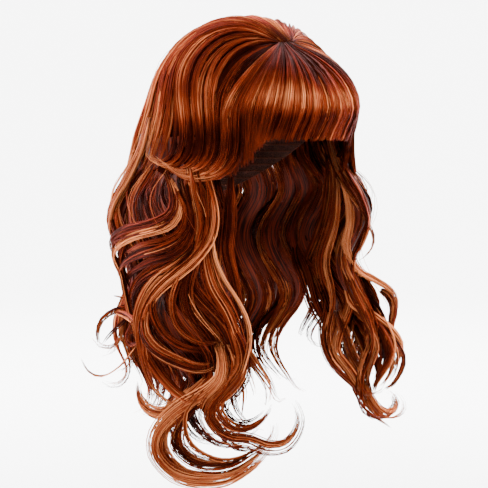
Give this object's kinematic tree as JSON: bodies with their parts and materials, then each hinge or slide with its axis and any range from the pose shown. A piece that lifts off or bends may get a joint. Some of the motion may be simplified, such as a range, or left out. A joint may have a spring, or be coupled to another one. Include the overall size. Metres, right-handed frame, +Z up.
{
  "type": "beehive wig",
  "caption": "Long wavy wig with a teased beehive crown, a full rounded fringe and temple hair swept back, open below for the head.",
  "frame": {"origin": "crown of the head, where the inside of the cap rests", "axes": "+Z up, -Y the way the face looks, -X the wearer's right"},
  "size_m": [0.3168, 0.2985, 0.5443],
  "materials": {
    "cap_net": "fine open net, matt",
    "combed_hair": "combed synthetic hair, satin sheen",
    "long_hair": "waved synthetic hair, satin sheen"
  },
  "bodies": {
    "root": {"cap": "cap_net", "beehive": "combed_hair", "fringe": "combed_hair", "temple_sweep_right": "combed_hair", "temple_sweep_left": "combed_hair", "front_locks_right": "long_hair", "front_locks_left": "long_hair", "back_locks": "long_hair"}
  },
  "joints": []
}
